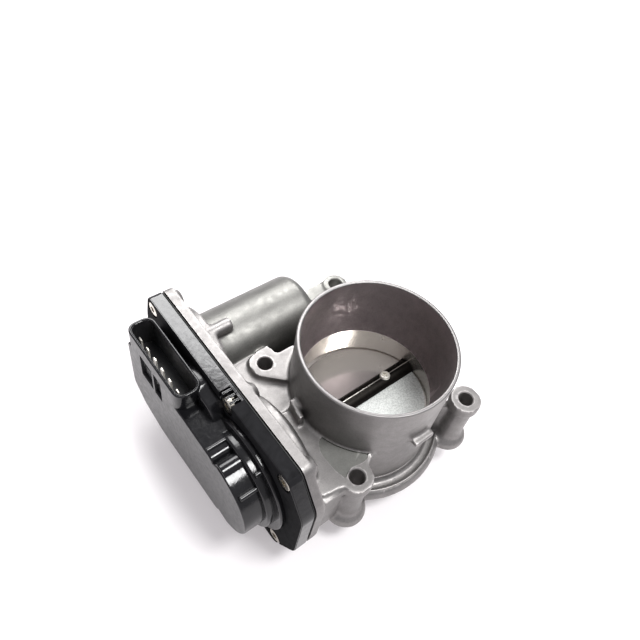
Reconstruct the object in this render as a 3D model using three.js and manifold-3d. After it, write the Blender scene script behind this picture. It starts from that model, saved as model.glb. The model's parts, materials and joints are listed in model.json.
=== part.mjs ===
// Electronic throttle body: a cast aluminium housing with a 60 mm bore, a throttle plate on a
// cross shaft, a two-stage gear train driven by a small motor, and a black plastic gear cover
// with a six-way connector.
//
// Frame, in millimetres: +Z runs up the bore axis from the outlet flange to the inlet rim,
// +X runs along the throttle shaft away from the gear cover, +Y points to the motor.
// The origin is on the bore axis, in the plane of the outlet flange's face.

import * as THREE from "three";
import { mergeVertices } from "three/addons/utils/BufferGeometryUtils.js";
import Module from "manifold-3d";

const wasm = await Module();
wasm.setup();

// ---------- driving dimensions ----------

const GAP = 0.3; // clearance between neighbouring pieces
const SIDES = 24; // facets of an ordinary round
const FINE = 40; // facets of the duct
const COARSE = 12; // facets of small screws and posts

// duct
const BORE_R = 30;
const INLET_R = 32.75; // wider inlet above the machined bore
const BARREL_R = 34.6;
const BORE_TOP = 30.6;
const RIM_Z = 62.5;

// outlet flange and its bolt bosses
const FLANGE_R = 42.5;
const FLANGE_EDGE_H = 2.2;
const FLANGE_TOP_R = 40.4; // its upper edge is drawn in
const FLANGE_TOP_H = 4.6;
const BOLT_AT = 32.5; // bolts on a square of twice this
const BOLT_HOLE_R = 3.35;
const BOSS_R = 7.2;
const COLUMN_R = 6.1;
const FOOT_R = 9;
const FOOT_H = 4;
const BOSS_TOP = 33;

// throttle
const SHAFT_Z = 19;
const SHAFT_R = 4.5;
const PLATE_R = 29.7;
const PLATE_T = 2;
const REST_TILT = THREE.MathUtils.degToRad(11); // the spring holds the plate this far open
const PLATE_SCREW_X = 15;
const BEARING_SEAT_R = 8;
const NEAR_BEARING_R = 11; // boss round the shaft on the gear side
const FAR_BEARING_R = 10;
const FAR_BEARING_END = 43;

// gear case, cut square to X
const CASE_FACE = -56; // the cover's seat
const CASE_BACK = -51.5;
const CASE_FLOOR = -53.6;
const CASE_HALF = 33; // half height, measured from the shaft
const BULGE_R = 28; // spring housing round the shaft
const BULGE_BACK = -44.2;
const SPRING_FLOOR = -47.4;
const RIM_WIDTH = 4.5;
const COLLAR_R = 24.5; // round step between the case and the motor sleeve, and the spring's well
const COLLAR_BACK = -47;
const POST_R = 4.6; // round each cover screw
const THREAD_R = 2.1;

// cover
const SEAL_T = 0.6;
const COVER_SEAT = CASE_FACE - SEAL_T - 2 * GAP;
const COVER_LIP = -63.4;
const COVER_STEP = -69.5; // first step of the dome
const COVER_TOP = -78.5; // flat outer face
const COVER_WALL = 2;
const SCREW_SEAT = -60.7;
const SCREW_POCKET_R = 4.05;

// gear train
const SECTOR_TEETH = 54; // as if the sector were a whole wheel
const SMALL_TEETH = 12;
const LARGE_TEETH = 44;
const PINION_TEETH = 11;
const MODULE_OUT = 1;
const MODULE_IN = 0.9;
const SECTOR_X = [-59, -55.5];
const LARGE_X = [-65, -61.2];
const IDLER_PIN_R = 2;

// motor
const MOTOR_Y = 57;
const MOTOR_Z = 22;
const MOTOR_SLEEVE_R = 18.2;
const MOTOR_BORE_R = 15.6;
const MOTOR_CAN_R = 15.2;
const MOTOR_END = 6;
const MOTOR_SCREWS = [
  [MOTOR_Y, MOTOR_Z + 20],
  [MOTOR_Y, MOTOR_Z - 20],
];
const MOTOR_SCREW_R = 1.6;
const MOTOR_SHAFT_R = 1.6;

// connector, moulded on the cover with its mouth up
const PLUG_Y = [28, 71];
const PLUG_X = [COVER_TOP, -66.2];
const PLUG_TOP = 50;
const PLUG_FLOOR = 34;
const PLUG_WALL = 1.3;
const PLUG_CORNER = 5;
const PIN_COUNT = 6;
const PIN_PITCH = 6.2;
const PIN_X = -73.9;
const PIN_MIDDLE_Y = 51.8;
const PIN_HALF = [0.4, 1.1];
const PIN_TIP = 42;
const PLUG_BASE = 2.4; // thickness of the socket's floor

// the screws that hold the cover: [y, z]
const COVER_SCREWS = [
  [75.6, 46],
  [16.6, 47.6],
  [-22, 47.2],
  [-23, -8.5],
  [16, -10],
  [57, -9.5],
];

// ---------- shape helpers ----------

const X_PRISM = new THREE.Matrix4().makeBasis(
  new THREE.Vector3(0, 1, 0),
  new THREE.Vector3(0, 0, 1),
  new THREE.Vector3(1, 0, 0),
);

// A closed geometry as a solid that can be joined and cut.
function solid(geometry) {
  const bare = geometry.clone();
  bare.deleteAttribute("normal");
  bare.deleteAttribute("uv");
  const merged = mergeVertices(bare, 1e-4);
  return new wasm.Manifold(
    new wasm.Mesh({
      numProp: 3,
      vertProperties: new Float32Array(merged.attributes.position.array),
      triVerts: new Uint32Array(merged.index.array),
    }),
  );
}

function join(...solids) {
  return solids.reduce((whole, next) => whole.add(next));
}

function cut(body, ...tools) {
  return tools.reduce((left, tool) => left.subtract(tool), body);
}

function circle(r, cx = 0, cy = 0, sides = SIDES) {
  return Array.from({ length: sides }, (_, i) => {
    const a = (2 * Math.PI * i) / sides;
    return [cx + r * Math.cos(a), cy + r * Math.sin(a)];
  });
}

// A polygon with each corner turned into an arc of three short chords.
function rounded(corners, r) {
  const outline = [];
  corners.forEach((corner, i) => {
    const p = new THREE.Vector2(...corner);
    const before = new THREE.Vector2(...corners.at(i - 1)).sub(p);
    const after = new THREE.Vector2(...corners[(i + 1) % corners.length]).sub(p);
    const reach = Math.min(r, before.length() / 2.1, after.length() / 2.1);
    const start = p.clone().add(before.setLength(reach));
    const end = p.clone().add(after.setLength(reach));
    const arc = new THREE.QuadraticBezierCurve(start, p, end);
    arc.getPoints(3).forEach((q) => outline.push([q.x, q.y]));
  });
  return outline;
}

function extrude(points, depth) {
  const shape = new THREE.Shape(points.map(([x, y]) => new THREE.Vector2(x, y)));
  return new THREE.ExtrudeGeometry(shape, { depth, bevelEnabled: false });
}

// Prism along X from outline points [y, z], and along Z from outline points [x, y].
function prismX(points, x0, x1) {
  return solid(extrude(points, x1 - x0).applyMatrix4(X_PRISM).translate(x0, 0, 0));
}

function prismZ(points, z0, z1) {
  return solid(extrude(points, z1 - z0).translate(0, 0, z0));
}

function rodX(r, x0, x1, y = 0, z = 0, sides = SIDES) {
  return prismX(circle(r, y, z, sides), x0, x1);
}

function rodZ(r, z0, z1, x = 0, y = 0, sides = SIDES) {
  return prismZ(circle(r, x, y, sides), z0, z1);
}

// Turned piece round X from profile points [radius, x].
function turnedX(profile, y = 0, z = 0, sides = SIDES) {
  const points = profile.map(([r, x]) => new THREE.Vector2(r, x));
  const lathe = new THREE.LatheGeometry(points, sides);
  return solid(lathe.rotateZ(-Math.PI / 2).translate(0, y, z));
}

function tubeX(outer, inner, x0, x1, y = 0, z = 0, sides = SIDES) {
  return cut(rodX(outer, x0, x1, y, z, sides), rodX(inner, x0 - 1, x1 + 1, y, z, sides));
}

function boxOf([x0, x1], [y0, y1], [z0, z1]) {
  const size = new THREE.BoxGeometry(x1 - x0, y1 - y0, z1 - z0);
  return solid(size.translate((x0 + x1) / 2, (y0 + y1) / 2, (z0 + z1) / 2));
}

// ---------- gears ----------

const PRESSURE = THREE.MathUtils.degToRad(20);
const BACKLASH = 0.16;

// Outline of the teeth numbered from first to last, with tooth 0 centred on the angle phase.
function teeth(count, module, { addendum, dedendum, phase, first = 0, last = count - 1 }) {
  const pitch = (count * module) / 2;
  const base = pitch * Math.cos(PRESSURE);
  const root = pitch - dedendum;
  const tip = pitch + addendum;
  const involute = (r) => {
    const t = Math.sqrt(Math.max(0, (r / base) ** 2 - 1));
    return t - Math.atan(t);
  };
  const halfTooth = Math.PI / 2 / count - BACKLASH / 2 / pitch;
  const half = (r) => halfTooth + involute(pitch) - involute(Math.max(r, base));
  const start = Math.max(root, base);
  const radii = start > root + 0.05 ? [root, start, tip] : [root, tip];
  const outline = [];
  for (let i = first; i <= last; i++) {
    const centre = phase + (2 * Math.PI * i) / count;
    const side = radii.map((r) => [r, half(r)]);
    side.forEach(([r, h]) => outline.push(polar(r, centre - h)));
    side.reverse().forEach(([r, h]) => outline.push(polar(r, centre + h)));
  }
  return outline;
}

function polar(r, a) {
  return [r * Math.cos(a), r * Math.sin(a)];
}

const outCentres = (MODULE_OUT * (SECTOR_TEETH + SMALL_TEETH)) / 2;
const inCentres = (MODULE_IN * (LARGE_TEETH + PINION_TEETH)) / 2;
const motorReach = Math.hypot(MOTOR_Y, MOTOR_Z - SHAFT_Z);
const motorBearing = Math.atan2(MOTOR_Z - SHAFT_Z, MOTOR_Y);
const outAngle =
  motorBearing +
  Math.acos((outCentres ** 2 + motorReach ** 2 - inCentres ** 2) / (2 * outCentres * motorReach));
const IDLER_Y = outCentres * Math.cos(outAngle);
const IDLER_Z = SHAFT_Z + outCentres * Math.sin(outAngle);
const inAngle = Math.atan2(MOTOR_Z - IDLER_Z, MOTOR_Y - IDLER_Y);

// ---------- the scene graph ----------

const throttleBody = new THREE.Group();
const throttle = new THREE.Group(); // everything that turns with the shaft
throttle.position.set(0, 0, SHAFT_Z);
throttle.rotation.x = -REST_TILT;
const idler = new THREE.Group();
idler.position.set(0, IDLER_Y, IDLER_Z);
const rotor = new THREE.Group();
rotor.position.set(0, MOTOR_Y, MOTOR_Z);
throttleBody.add(throttle, idler, rotor);

const FINISH = {
  castAluminium: { color: 0xa9a5a2, roughness: 0.45, metalness: 0.9 },
  blackPlastic: { color: 0x151517, roughness: 0.25, metalness: 0 },
  brightSteel: { color: 0xc9c8c4, roughness: 0.28, metalness: 1 },
  darkSteel: { color: 0x222223, roughness: 0.3, metalness: 1 },
  brass: { color: 0xc2a566, roughness: 0.35, metalness: 1 },
  rubber: { color: 0x1b1b1b, roughness: 0.85, metalness: 0 },
  whiteNylon: { color: 0xe4dfd0, roughness: 0.55, metalness: 0 },
  circuitBoard: { color: 0x1f5a35, roughness: 0.5, metalness: 0 },
  magnet: { color: 0x47474a, roughness: 0.6, metalness: 0.6 },
};

function piece(name, body, finish, parent = throttleBody) {
  const made = body.getMesh();
  const geometry = new THREE.BufferGeometry();
  geometry.setAttribute("position", new THREE.BufferAttribute(made.vertProperties, 3));
  geometry.setIndex(new THREE.BufferAttribute(made.triVerts, 1));
  geometry.computeVertexNormals();
  const mesh = new THREE.Mesh(geometry, new THREE.MeshStandardMaterial(FINISH[finish]));
  mesh.name = name;
  parent.add(mesh);
}

// ---------- housing ----------

// Corners of the gear case seen along X: [y, z].
const CASE_CORNERS = [
  [79, 52],
  [-24, 52],
  [-36, 35],
  [-36, 3],
  [-24, -14],
  [62, -14],
  [82, 12],
  [82, 37],
];

function insetCase(by) {
  const middleY = 23;
  const halfY = 59;
  return CASE_CORNERS.map(([y, z]) => [
    middleY + (y - middleY) * (1 - by / halfY),
    SHAFT_Z + (z - SHAFT_Z) * (1 - by / CASE_HALF),
  ]);
}

const caseOutline = rounded(CASE_CORNERS, 3);

function screwPosts(r, x0, x1) {
  return join(...COVER_SCREWS.map(([y, z]) => rodX(r, x0, x1, y, z, COARSE)));
}

// The hollow inside the rim, leaving a post round every cover screw.
function rimHollow(x0, x1) {
  const inside = prismX(rounded(insetCase(RIM_WIDTH), 6), x0, x1);
  return cut(inside, screwPosts(POST_R, x0 - 1, x1 + 1));
}

const BOLT_CORNERS = [
  [-BOLT_AT, BOLT_AT],
  [BOLT_AT, BOLT_AT],
  [BOLT_AT, -BOLT_AT],
  [-BOLT_AT, -BOLT_AT],
];
const EAR = [24.6, 52.6]; // bracket ear past the motor's end
const EAR_BOSS_R = 6.2;
const EAR_TOP = 32.5;
const WEB_Z = [27, BOSS_TOP];
const LEDGE_Z = 30.4; // plate round the boss beside the motor

function barrel() {
  return join(
    rodZ(BARREL_R, 0, RIM_Z, 0, 0, FINE),
    rodZ(FLANGE_R, 0, FLANGE_EDGE_H, 0, 0, FINE),
    rodZ(FLANGE_TOP_R, 0, FLANGE_TOP_H, 0, 0, FINE),
  );
}

function boltBoss([x, y]) {
  return join(
    rodZ(COLUMN_R, 0, BOSS_TOP, x, y, 16),
    rodZ(BOSS_R, BOSS_TOP - 5, BOSS_TOP, x, y, 16),
    rodZ(FOOT_R, 0, FOOT_H, x, y, 16),
  );
}

// Rib from the barrel to a boss on the side away from the gears, seen along Z: [x, y].
const BOSS_RIB = [
  [23.4, 20.6],
  [32.4, 29.6],
  [29.6, 32.4],
  [20.6, 23.4],
];
const BOSS_RIB_TOP = 26;

function bossRib(side) {
  return prismZ(BOSS_RIB.map(([x, y]) => [x, side * y]), 0, BOSS_RIB_TOP);
}

function gearCase() {
  const inside = CASE_BACK - 0.5;
  return join(
    prismX(caseOutline, CASE_FACE, CASE_BACK),
    rodX(BULGE_R, inside, BULGE_BACK, 0, SHAFT_Z, 28),
    rodX(COLLAR_R, inside, COLLAR_BACK, MOTOR_Y, MOTOR_Z, 28),
    rodX(5, inside, COLLAR_BACK + 1, IDLER_Y, IDLER_Z, 20),
    screwPosts(POST_R - 0.2, inside, COLLAR_BACK - 1),
  );
}

// Flat webs between the gear case, the barrel and the bolt bosses, seen along Z: [x, y].
const BOSS_SIDE = [
  [-10, 28],
  [-15, 34],
  [-25.5, 34],
  [-25.5, 40.3],
];
const MOTOR_WEB = [[-46, 40.3], [-46, 5], [-28, 5], ...BOSS_SIDE];
const MOTOR_WEB_PAD = [[-32.5, 40.3], [-37.8, 27.2], [-27, 19], ...BOSS_SIDE];
const COVER_WEB = [
  [-46, 10],
  [-46, -31],
  [-38, -36.5],
  [-28, -38.5],
  [-20, -28],
  [-25, 5],
];
const COVER_WEB_HOLLOW = [
  [-37, -14.5],
  [-38.5, -20],
  [-36, -25.5],
  [-31, -27.5],
  [-21, -28],
  [-28, -23],
  [-32, -13],
];
const COVER_WEB_RIB = [
  [-39, -1],
  [-36.6, -0.9],
  [-34, 9],
  [-37.2, 8.6],
];
const EAR_WEB = [
  [8, 58],
  [8, 33],
  [20, 24],
  [34, 24],
  [39, 34],
  [30.6, 46],
  [30.6, 54],
  [26, 58],
];
const HOLLOW_DEPTH = 1.2;

function webs() {
  const hollow = prismZ(COVER_WEB_HOLLOW, BOSS_TOP - HOLLOW_DEPTH, BOSS_TOP + 1);
  return join(
    prismZ(rounded(MOTOR_WEB, 2), 25, LEDGE_Z),
    prismZ(rounded(MOTOR_WEB_PAD, 2), LEDGE_Z - 1, BOSS_TOP),
    cut(prismZ(rounded(COVER_WEB, 2), ...WEB_Z), hollow),
    prismZ(COVER_WEB_RIB, BOSS_TOP - 1, 39),
    prismZ(rounded(EAR_WEB, 4), 27.5, 31.5),
    rodZ(EAR_BOSS_R, 20, EAR_TOP, ...EAR, 16),
    boxOf([-52, -40], [-34.5, -32], [4, 30]), // fin between the case and the front boss
    boxOf([-6.3, 4.4], [-38, -33], [37.6, 39.6]), // ledge on the barrel
  );
}

function motorSleeve() {
  const start = CASE_BACK - 0.5;
  const profile = [
    [0, start],
    [MOTOR_SLEEVE_R, start],
    [MOTOR_SLEEVE_R, MOTOR_END - 3],
    [MOTOR_SLEEVE_R - 1.6, MOTOR_END - 0.6],
    [MOTOR_SLEEVE_R - 3.7, MOTOR_END],
    [0, MOTOR_END],
  ];
  return join(
    turnedX(profile, MOTOR_Y, MOTOR_Z, 28),
    rodX(3.1, -48, -37.6, 53, 43.6, 14), // small blind boss above the sleeve
    boxOf([-44, 2], [30, 45], [10, 16]), // web from the sleeve to the barrel
  );
}

function shaftBosses() {
  return join(
    rodX(NEAR_BEARING_R, BULGE_BACK - 0.8, -BORE_R, 0, SHAFT_Z),
    rodX(FAR_BEARING_R, BORE_R, FAR_BEARING_END, 0, SHAFT_Z),
    boxOf([BULGE_BACK - 0.8, -33], [-2, 2], [1, BORE_R]), // rib above and below the gear side boss
  );
}

function housing() {
  const body = join(
    barrel(),
    ...BOLT_CORNERS.map(boltBoss),
    bossRib(1),
    bossRib(-1),
    gearCase(),
    webs(),
    motorSleeve(),
    shaftBosses(),
  );
  return cut(
    body,
    rodZ(BORE_R, -1, BORE_TOP + 0.5, 0, 0, FINE),
    rodZ(INLET_R, BORE_TOP, RIM_Z + 1, 0, 0, FINE),
    ...[...BOLT_CORNERS, EAR].map(([x, y]) => rodZ(BOLT_HOLE_R, -1, BOSS_TOP + 1, x, y, 16)),
    rodX(SHAFT_R + GAP, -50, FAR_BEARING_END + 1, 0, SHAFT_Z),
    rodX(BEARING_SEAT_R, -50, -37.2, 0, SHAFT_Z),
    rodX(BEARING_SEAT_R, 34.2, FAR_BEARING_END + 1, 0, SHAFT_Z),
    rimHollow(CASE_FACE - 1, CASE_FLOOR),
    rodX(COLLAR_R, CASE_FLOOR - 1, SPRING_FLOOR, 0, SHAFT_Z, 28),
    rodX(MOTOR_BORE_R, CASE_FLOOR - 1, 4, MOTOR_Y, MOTOR_Z, 28),
    rodX(IDLER_PIN_R + GAP, CASE_FLOOR - 1, -49, IDLER_Y, IDLER_Z, 16),
    screwPosts(THREAD_R, CASE_FACE - 1, -49),
    ...MOTOR_SCREWS.map(([y, z]) => rodX(MOTOR_SCREW_R, CASE_FLOOR - 1, -48.5, y, z, 14)),
  );
}

piece("throttle_housing", housing(), "castAluminium");

// ---------- cover, seal, screws and connector ----------

const STEP_R = 24; // first step of the dome, round the shaft
const IDLER_STEP_R = 23.3;
const MOTOR_STEP_R = 12;
const DOME_R = 21; // outer face, round the shaft

// The two steps of the dome, drawn in by a wall thickness for the hollow.
function lowerStep(wall, x0, x1) {
  const link = [
    [0, SHAFT_Z + STEP_R - wall],
    [0, SHAFT_Z - STEP_R + wall],
    [MOTOR_Y, MOTOR_Z - MOTOR_STEP_R + wall],
    [MOTOR_Y, MOTOR_Z + MOTOR_STEP_R - wall],
    [IDLER_Y - 2.5, IDLER_Z + 21 - wall],
  ];
  return join(
    rodX(STEP_R - wall, x0, x1, 0, SHAFT_Z, 28),
    rodX(IDLER_STEP_R - wall, x0, x1, IDLER_Y, IDLER_Z, 28),
    rodX(MOTOR_STEP_R - wall, x0, x1, MOTOR_Y, MOTOR_Z, 24),
    prismX(link, x0, x1),
  );
}

function upperStep(wall, plugZ, x0, x1) {
  const [near, far] = PLUG_Y;
  const top = SHAFT_Z + DOME_R - wall;
  const low = SHAFT_Z - DOME_R + wall;
  const body = [
    [0, top],
    [0, low],
    [far - 11, low],
    [far - wall, low + 10 - wall],
    [far - wall, plugZ],
    [near - wall, plugZ],
    [near - wall, top],
  ];
  return join(rodX(DOME_R + 0.2 - wall, x0, x1, 0, SHAFT_Z, 28), prismX(body, x0, x1));
}

function plugOutline(wall, r) {
  const [x0, x1] = [PLUG_X[0] + wall, PLUG_X[1] - wall];
  const [y0, y1] = [PLUG_Y[0] + wall, PLUG_Y[1] - wall];
  const corners = [
    [x0, y0],
    [x1, y0],
    [x1, y1],
    [x0, y1],
  ];
  return rounded(corners, r);
}

const pinPlaces = Array.from(
  { length: PIN_COUNT },
  (_, i) => PIN_MIDDLE_Y + PIN_PITCH * (i - (PIN_COUNT - 1) / 2),
);

function pinBar(y, grow, z0, z1) {
  const thick = PIN_HALF[0] + grow;
  const wide = PIN_HALF[1] + grow;
  return boxOf([PIN_X - thick, PIN_X + thick], [y - wide, y + wide], [z0, z1]);
}

function cover() {
  const shell = join(
    prismX(caseOutline, COVER_LIP, COVER_SEAT),
    lowerStep(0, COVER_STEP, COVER_LIP + 1),
    upperStep(0, PLUG_FLOOR, COVER_TOP, COVER_LIP + 1),
    prismZ(plugOutline(0, PLUG_CORNER), PLUG_FLOOR - 6, PLUG_TOP),
  );
  const hollow = cut(
    join(
      rimHollow(COVER_LIP + COVER_WALL, COVER_SEAT + 1),
      lowerStep(COVER_WALL, COVER_STEP + COVER_WALL, COVER_SEAT),
      upperStep(COVER_WALL, PLUG_FLOOR - PLUG_BASE, COVER_TOP + COVER_WALL, COVER_SEAT),
    ),
    screwPosts(POST_R, COVER_LIP - 1, COVER_SEAT + 2),
    rodX(4.4, COVER_TOP, -67.2, IDLER_Y, IDLER_Z, 20), // boss for the idler's pin
    prismZ(plugOutline(0, PLUG_CORNER), PLUG_FLOOR - PLUG_BASE, PLUG_TOP),
  );
  return cut(
    shell,
    hollow,
    prismZ(plugOutline(PLUG_WALL, PLUG_CORNER - 1), PLUG_FLOOR, PLUG_TOP + 1),
    ...pinPlaces.map((y) => pinBar(y, GAP, PLUG_FLOOR - 8, PLUG_FLOOR + 1)),
    rodX(IDLER_PIN_R + GAP, -72, -66, IDLER_Y, IDLER_Z, 16),
    screwPosts(THREAD_R, COVER_LIP - 1, COVER_SEAT + 1),
    screwPosts(SCREW_POCKET_R, COVER_LIP - 1, SCREW_SEAT),
  );
}

function seal() {
  const x0 = CASE_FACE - GAP - SEAL_T;
  const x1 = CASE_FACE - GAP;
  const plate = prismX(rounded(insetCase(0.7), 4), x0, x1);
  return cut(plate, rimHollow(x0 - 1, x1 + 1), screwPosts(THREAD_R, x0 - 1, x1 + 1));
}

function coverScrew() {
  const seat = SCREW_SEAT - GAP;
  const top = seat - 2.2;
  const head = [
    [0, top],
    [3.1, top],
    [3.6, seat - 1.7],
    [3.75, seat],
    [0, seat],
  ];
  return cut(
    join(turnedX(head, 0, 0, 14), rodX(THREAD_R - GAP, seat - 0.5, -50, 0, 0, COARSE)),
    rodX(1.5, top - 1, top + 1.1, 0, 0, 6),
  );
}

piece("gear_cover", cover(), "blackPlastic");
piece("cover_seal", seal(), "rubber");
COVER_SCREWS.forEach(([y, z], i) => {
  piece(`cover_screw_${i + 1}`, coverScrew().translate([0, y, z]), "brightSteel");
});
pinPlaces.forEach((y, i) => {
  piece(`connector_pin_${i + 1}`, pinBar(y, 0, PLUG_FLOOR - 5.5, PIN_TIP), "brightSteel");
});

// ---------- throttle shaft and plate (axis on the group's X) ----------

const plateScrewHole = (x, z0, z1) => rodZ(1.7, z0, z1, x, 0, COARSE);
const plateScrewPlaces = [-PLATE_SCREW_X, PLATE_SCREW_X];

// The shaft is slotted for the plate, and countersunk for its screws.
function shaft() {
  const slot = BORE_R + 0.05;
  const sink = SHAFT_R - 0.9;
  return cut(
    rodX(SHAFT_R, -62, 40),
    boxOf([-slot, slot], [-6, 6], [-PLATE_T / 2 - GAP, PLATE_T / 2 + GAP]),
    ...plateScrewPlaces.map((x) => plateScrewHole(x, -3.7, SHAFT_R + 0.5)),
    ...plateScrewPlaces.map((x) => rodZ(2.9, sink, SHAFT_R + 0.5, x, 0, 14)),
  );
}

function plate() {
  const disc = rodZ(PLATE_R, -PLATE_T / 2, PLATE_T / 2, 0, 0, FINE);
  return cut(disc, ...plateScrewPlaces.map((x) => plateScrewHole(x, -2, 2)));
}

function plateScrew(x) {
  return join(rodZ(1.4, -3.3, 4.5, x, 0, COARSE), rodZ(2.5, 3.9, 5.4, x, 0, 14));
}

function throttleGear() {
  const step = (2 * Math.PI) / SECTOR_TEETH;
  const phase = outAngle + REST_TILT;
  const rim = teeth(SECTOR_TEETH, MODULE_OUT, {
    addendum: 0.75,
    dedendum: 1.15,
    phase,
    first: -3,
    last: 13,
  });
  const startAngle = phase + 13.6 * step;
  const sweep = 2 * Math.PI - 17.2 * step;
  const hub = Array.from({ length: 25 }, (_, i) => polar(10.5, startAngle + (sweep * i) / 24));
  return cut(
    join(prismX([...rim, ...hub], ...SECTOR_X), rodX(9, -66, -54.6)),
    rodX(SHAFT_R + GAP, -62.3, -54),
    rodX(6.3, -67, -64),
  );
}

piece("throttle_shaft", shaft(), "darkSteel", throttle);
piece("throttle_plate", plate(), "castAluminium", throttle);
plateScrewPlaces.forEach((x, i) => {
  piece(`plate_screw_${i + 1}`, plateScrew(x), "brightSteel", throttle);
});
piece("throttle_gear", throttleGear(), "whiteNylon", throttle);
piece("sensor_magnet", rodX(6, -69, -64.3), "magnet", throttle);

// ---------- pieces held by the housing round the shaft ----------

function ring(name, outer, inner, x0, x1, finish) {
  piece(name, tubeX(outer, inner, x0, x1, 0, SHAFT_Z, SIDES), finish);
}

const SEAT_FIT = BEARING_SEAT_R - GAP;
ring("bearing_gear_side", SEAT_FIT, SHAFT_R + 0.15, -46.8, -42, "brightSteel");
ring("shaft_seal", SEAT_FIT, SHAFT_R + 0.15, -41.6, -37.6, "rubber");
ring("bearing_far_side", SEAT_FIT, SHAFT_R + 0.15, 34.6, 40.2, "brightSteel");
ring("spring_bush", 11, SHAFT_R + 0.5, -54, -47.8, "whiteNylon");
piece("shaft_end_plug", rodX(SEAT_FIT, 40.6, 42.8, 0, SHAFT_Z, SIDES), "brightSteel");

function returnSpring() {
  const turns = 2.5;
  const wire = 0.85;
  const coilR = 14;
  const pitch = 1.95;
  const steps = 16 * turns;
  const points = Array.from({ length: steps + 1 }, (_, i) => {
    const a = (2 * Math.PI * turns * i) / steps;
    const along = -53.3 + (pitch * turns * i) / steps;
    return new THREE.Vector3(along, coilR * Math.cos(a), coilR * Math.sin(a));
  });
  const path = new THREE.CatmullRomCurve3(points);
  const section = new THREE.Shape(circle(wire, 0, 0, 5).map((p) => new THREE.Vector2(...p)));
  const sweep = { steps, extrudePath: path, bevelEnabled: false };
  const coil = new THREE.ExtrudeGeometry(section, sweep);
  return solid(coil.translate(0, 0, SHAFT_Z));
}

piece("return_spring", returnSpring(), "darkSteel");

// ---------- gear train and motor ----------

function idlerGear() {
  const meshing = outAngle + Math.PI + Math.PI / SMALL_TEETH;
  const small = { addendum: 0.9, dedendum: 1.1, phase: meshing };
  const large = { addendum: 0.6, dedendum: 1.05, phase: inAngle };
  return cut(
    join(
      prismX(teeth(SMALL_TEETH, MODULE_OUT, small), -60, -55),
      prismX(teeth(LARGE_TEETH, MODULE_IN, large), ...LARGE_X),
      rodX(4.8, -61.5, -54.6, 0, 0, 20),
    ),
    rodX(IDLER_PIN_R + 0.15, -66, -54, 0, 0, 20),
  );
}

function motorPinion() {
  const meshing = inAngle + Math.PI + Math.PI / PINION_TEETH;
  const shape = { addendum: 0.8, dedendum: 0.95, phase: meshing };
  const wheel = prismX(teeth(PINION_TEETH, MODULE_IN, shape), -65.4, -60.9);
  return cut(wheel, rodX(MOTOR_SHAFT_R + GAP, -66, -60, 0, 0, 16));
}

piece("idler_gear", idlerGear(), "whiteNylon", idler);
piece("idler_pin", rodX(IDLER_PIN_R, -70.6, -49.6, IDLER_Y, IDLER_Z, 20), "brightSteel");
piece("motor_pinion", motorPinion(), "brass", rotor);
piece("motor_shaft", rodX(MOTOR_SHAFT_R, -66.5, 0.8, 0, 0, 16), "brightSteel", rotor);
piece("motor_armature", tubeX(11, MOTOR_SHAFT_R + GAP, -42, -8, 0, 0, 28), "darkSteel", rotor);

function motorCan() {
  return cut(
    rodX(MOTOR_CAN_R, -53.4, 2.4, MOTOR_Y, MOTOR_Z, 28),
    rodX(MOTOR_CAN_R - 0.9, -54, 1.4, MOTOR_Y, MOTOR_Z, 28),
  );
}

function motorMagnet(side) {
  const half = THREE.MathUtils.degToRad(62);
  const arc = (r, a0, a1) =>
    Array.from({ length: 13 }, (_, i) => polar(r, a0 + ((a1 - a0) * i) / 12));
  const middle = side * (Math.PI / 2);
  const outer = arc(MOTOR_CAN_R - 1.3, middle - half, middle + half);
  const inner = arc(11.5, middle + half, middle - half);
  return prismX([...outer, ...inner], -40, -10).translate([0, MOTOR_Y, MOTOR_Z]);
}

const TERMINAL_Y = [MOTOR_Y - 1.5, MOTOR_Y + 8];

function terminal(y, grow, x0, x1) {
  const wide = [y - 0.4 - grow, y + 0.4 + grow];
  const tall = [MOTOR_Z + 8 - grow, MOTOR_Z + 11 + grow];
  return boxOf([x0, x1], wide, tall);
}

function motorEndPlate() {
  const x0 = -55.2;
  const x1 = CASE_FLOOR - GAP;
  return cut(
    join(
      rodX(17, x0, x1, MOTOR_Y, MOTOR_Z, 28),
      ...MOTOR_SCREWS.map(([y, z]) => rodX(4, x0, x1, y, z, 20)),
      boxOf([x0, x1], [MOTOR_Y - 4, MOTOR_Y + 4], [MOTOR_Z - 20, MOTOR_Z + 20]),
    ),
    rodX(2.2, -56, -53, MOTOR_Y, MOTOR_Z, 16),
    ...MOTOR_SCREWS.map(([y, z]) => rodX(MOTOR_SCREW_R, -56, -53, y, z, 14)),
    ...TERMINAL_Y.map((y) => terminal(y, GAP, -56, -53)),
  );
}

piece("motor_can", motorCan(), "brightSteel");
piece("motor_magnet_1", motorMagnet(1), "magnet");
piece("motor_magnet_2", motorMagnet(-1), "magnet");
piece("motor_end_plate", motorEndPlate(), "blackPlastic");
piece("motor_wave_washer", tubeX(9, 5, 2.8, 3.6, MOTOR_Y, MOTOR_Z, 24), "brightSteel");
MOTOR_SCREWS.forEach(([y, z], i) => {
  const screw = join(rodX(2.8, -57.3, -55.5, y, z, 18), rodX(MOTOR_SCREW_R - GAP, -56, -49, y, z, 14));
  piece(`motor_screw_${i + 1}`, screw, "brightSteel");
});
TERMINAL_Y.forEach((y, i) => {
  piece(`motor_terminal_${i + 1}`, terminal(y, 0, -61, -46), "brass");
});
piece("sensor_board", boxOf([-75.6, -74.2], [-11, 24], [6, 33]), "circuitBoard");

export default throttleBody;
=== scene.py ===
"""The looks of an electronic throttle body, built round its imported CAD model.

Shapes are drawn in millimetres in the model's own frame (+Z up the bore, +X along the throttle
shaft away from the gear cover, +Y to the motor) and scaled to metres when they become objects.
"""

import json
import math

import bmesh
import bpy
from mathutils import Matrix, Vector


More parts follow.
